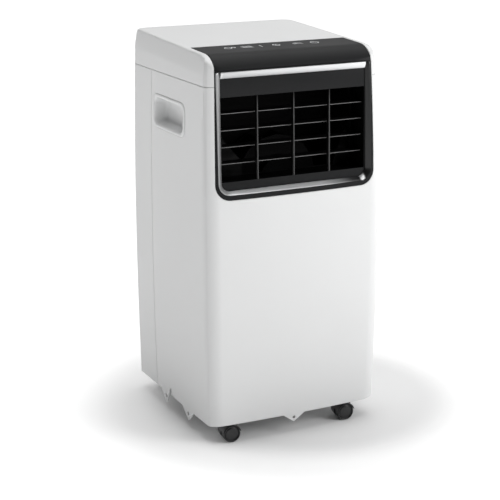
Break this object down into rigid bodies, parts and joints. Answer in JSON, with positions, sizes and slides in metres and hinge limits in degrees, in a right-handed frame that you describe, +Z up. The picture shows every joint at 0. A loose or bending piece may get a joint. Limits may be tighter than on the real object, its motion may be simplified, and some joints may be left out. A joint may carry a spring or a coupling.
{
  "type": "portable air conditioner",
  "caption": "Tall wheeled room air conditioner with a white moulded cabinet, dark curved fascia, swinging air outlet, grip recesses, rear intakes and hose collar.",
  "frame": {"origin": "on the floor under the middle of the cabinet", "axes": "+Z up, the front with the air outlet faces -Y, +X is the right-hand side as seen from the front"},
  "size_m": [0.345, 0.355, 0.703],
  "materials": {
    "shell_white": "satin moulded",
    "fascia_graphite": "satin",
    "trim_silver": "bright satin",
    "black_plastic": "fine texture",
    "caster_black": "satin",
    "pale_grey": "satin",
    "natural_plastic": "matt",
    "aluminium": "finned",
    "steel": "zinc plated",
    "black_enamel": "semi gloss",
    "copper": "drawn tube",
    "rubber": "matt",
    "circuit": "solder mask",
    "filter_net": "fine net"
  },
  "bodies": {
    "chassis": {"top_cover": "shell_white", "front_shell": "shell_white", "rear_shell": "shell_white", "grip_right": "shell_white", "grip_left": "shell_white", "exhaust_collar": "shell_white", "base_pan": "shell_white", "control_fascia": "fascia_graphite", "outlet_frame": "fascia_graphite", "outlet_trim": "trim_silver", "outlet_grid": "black_plastic", "upper_fan_casing": "black_plastic", "cord_gland": "black_plastic", "louvre_motor": "pale_grey", "upper_drain_spout": "natural_plastic", "lower_drain_spout": "natural_plastic", "drip_deck": "natural_plastic", "lower_fan_casing": "natural_plastic", "evaporator_coil": "aluminium", "condenser_coil": "aluminium", "run_capacitor": "aluminium", "rear_screw_1": "steel", "rear_screw_2": "steel", "rear_screw_3": "steel", "rear_screw_4": "steel", "upper_fan_motor": "steel", "lower_fan_motor": "steel", "electrical_box": "steel", "compressor": "black_enamel", "accumulator": "black_enamel", "suction_pipe": "copper", "discharge_pipe": "copper", "compressor_foot_1": "rubber", "compressor_foot_2": "rubber", "compressor_foot_3": "rubber", "control_board": "circuit", "main_board": "circuit"},
    "louvre_1": {"louvre_blade_1": "black_plastic"},
    "louvre_2": {"louvre_blade_2": "black_plastic"},
    "louvre_3": {"louvre_blade_3": "black_plastic"},
    "louvre_4": {"louvre_blade_4": "black_plastic"},
    "louvre_linkage": {"louvre_link": "black_plastic"},
    "caster_front_left": {"caster_fork_front_left": "caster_black"},
    "wheels_front_left": {"caster_wheels_front_left": "caster_black"},
    "caster_front_right": {"caster_fork_front_right": "caster_black"},
    "wheels_front_right": {"caster_wheels_front_right": "caster_black"},
    "caster_rear_left": {"caster_fork_rear_left": "caster_black"},
    "wheels_rear_left": {"caster_wheels_rear_left": "caster_black"},
    "caster_rear_right": {"caster_fork_rear_right": "caster_black"},
    "wheels_rear_right": {"caster_wheels_rear_right": "caster_black"},
    "upper_fan": {"upper_fan_wheel": "black_plastic"},
    "lower_fan": {"lower_fan_wheel": "black_plastic"},
    "upper_intake": {"upper_intake_grille": "shell_white", "upper_filter": "filter_net"},
    "lower_intake": {"lower_intake_grille": "shell_white", "lower_filter": "filter_net"},
    "upper_plug": {"upper_drain_plug": "rubber"},
    "lower_plug": {"lower_drain_plug": "rubber"}
  },
  "joints": [
    {"name": "louvre_1_swing", "type": "hinge", "parent": "chassis", "child": "louvre_1", "pos_m": [0, -0.134, 0.5045], "axis": [1, 0, 0], "range_deg": [-40, 20]},
    {"name": "louvre_2_swing", "type": "hinge", "parent": "chassis", "child": "louvre_2", "pos_m": [0, -0.134, 0.5335], "axis": [1, 0, 0], "range_deg": [-40, 20]},
    {"name": "louvre_3_swing", "type": "hinge", "parent": "chassis", "child": "louvre_3", "pos_m": [0, -0.134, 0.5625], "axis": [1, 0, 0], "range_deg": [-40, 20]},
    {"name": "louvre_4_swing", "type": "hinge", "parent": "chassis", "child": "louvre_4", "pos_m": [0, -0.134, 0.5915], "axis": [1, 0, 0], "range_deg": [-40, 20]},
    {"name": "louvre_link_pivot", "type": "hinge", "parent": "louvre_1", "child": "louvre_linkage", "pos_m": [0.133, -0.117, 0.5045], "axis": [1, 0, 0], "range_deg": [-20, 40]},
    {"name": "front_left_swivel", "type": "hinge", "parent": "chassis", "child": "caster_front_left", "pos_m": [-0.117, -0.151, 0.034], "axis": [0, 0, 1], "continuous": true},
    {"name": "front_right_swivel", "type": "hinge", "parent": "chassis", "child": "caster_front_right", "pos_m": [0.117, -0.151, 0.034], "axis": [0, 0, 1], "continuous": true},
    {"name": "rear_left_swivel", "type": "hinge", "parent": "chassis", "child": "caster_rear_left", "pos_m": [-0.117, 0.132, 0.034], "axis": [0, 0, 1], "continuous": true},
    {"name": "rear_right_swivel", "type": "hinge", "parent": "chassis", "child": "caster_rear_right", "pos_m": [0.117, 0.132, 0.034], "axis": [0, 0, 1], "continuous": true},
    {"name": "front_left_roll", "type": "hinge", "parent": "caster_front_left", "child": "wheels_front_left", "pos_m": [-0.12396, -0.15027, 0.016], "axis": [0.1045, 0.9945, 0], "continuous": true},
    {"name": "front_right_roll", "type": "hinge", "parent": "caster_front_right", "child": "wheels_front_right", "pos_m": [0.11004, -0.15027, 0.016], "axis": [0.1045, 0.9945, 0], "continuous": true},
    {"name": "rear_left_roll", "type": "hinge", "parent": "caster_rear_left", "child": "wheels_rear_left", "pos_m": [-0.12396, 0.13273, 0.016], "axis": [0.1045, 0.9945, 0], "continuous": true},
    {"name": "rear_right_roll", "type": "hinge", "parent": "caster_rear_right", "child": "wheels_rear_right", "pos_m": [0.11004, 0.13273, 0.016], "axis": [0.1045, 0.9945, 0], "continuous": true},
    {"name": "upper_fan_spin", "type": "hinge", "parent": "chassis", "child": "upper_fan", "pos_m": [0, -0.06, 0.458], "axis": [0, 1, 0], "continuous": true},
    {"name": "lower_fan_spin", "type": "hinge", "parent": "chassis", "child": "lower_fan", "pos_m": [-0.018, 0.07, 0.158], "axis": [0, 1, 0], "continuous": true},
    {"name": "upper_intake_pull", "type": "slide", "parent": "chassis", "child": "upper_intake", "axis": [0, 1, 0], "range_m": [0, 0.06]},
    {"name": "lower_intake_pull", "type": "slide", "parent": "chassis", "child": "lower_intake", "axis": [0, 1, 0], "range_m": [0, 0.06]},
    {"name": "upper_plug_pull", "type": "slide", "parent": "chassis", "child": "upper_plug", "axis": [0, 1, 0], "range_m": [0, 0.025]},
    {"name": "lower_plug_pull", "type": "slide", "parent": "chassis", "child": "lower_plug", "axis": [0, 1, 0], "range_m": [0, 0.025]}
  ],
  "couplings": [
    {"joint": "louvre_2_swing", "follows": "louvre_1_swing", "ratio": 1},
    {"joint": "louvre_3_swing", "follows": "louvre_1_swing", "ratio": 1},
    {"joint": "louvre_4_swing", "follows": "louvre_1_swing", "ratio": 1},
    {"joint": "louvre_link_pivot", "follows": "louvre_1_swing", "ratio": -1}
  ]
}
